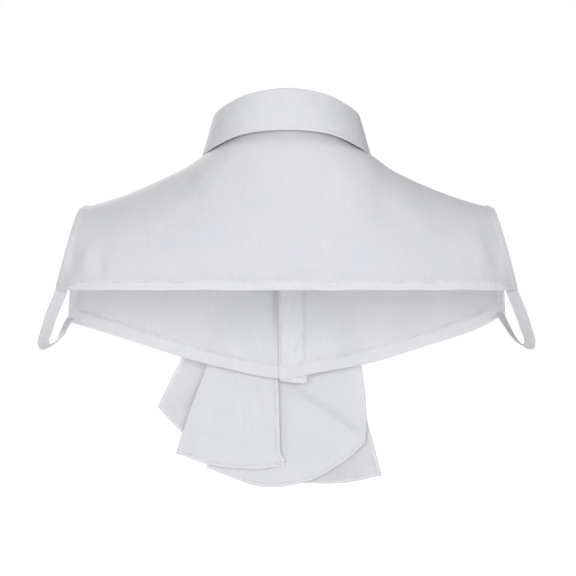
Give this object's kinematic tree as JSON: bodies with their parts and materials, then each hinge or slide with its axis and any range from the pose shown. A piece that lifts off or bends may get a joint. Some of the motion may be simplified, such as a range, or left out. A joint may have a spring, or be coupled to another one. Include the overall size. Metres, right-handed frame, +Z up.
{
  "type": "detachable shirt collar with fronts, back and ruffled jabot",
  "caption": "White cotton false shirt front: a turned-down collar on short fronts and a short back, elastic loops under the arms, and a gathered ruffle jabot on the chest.",
  "frame": {"origin": "middle of the neck opening, level with the sides of the neck seam, where the wearer's neck carries the collar", "axes": "+Z up; the garment's front faces -Y; the wearer's left is +X"},
  "size_m": [0.4442, 0.2734, 0.3651],
  "materials": {
    "shirting": "matt white cotton poplin",
    "elastic": "white woven elastic",
    "button": "polished white resin"
  },
  "bodies": {
    "root": {"back_panel": "shirting", "front_left": "shirting", "front_right": "shirting", "placket_left": "shirting", "facing_right": "shirting", "collar_stand": "shirting", "collar_fall": "shirting", "jabot_front": "shirting", "jabot_under_left": "shirting", "jabot_under_right": "shirting", "jabot_band": "shirting", "elastic_loop_left": "elastic", "elastic_loop_right": "elastic", "button_stand": "button", "button_placket_1": "button", "button_placket_2": "button"}
  },
  "joints": []
}
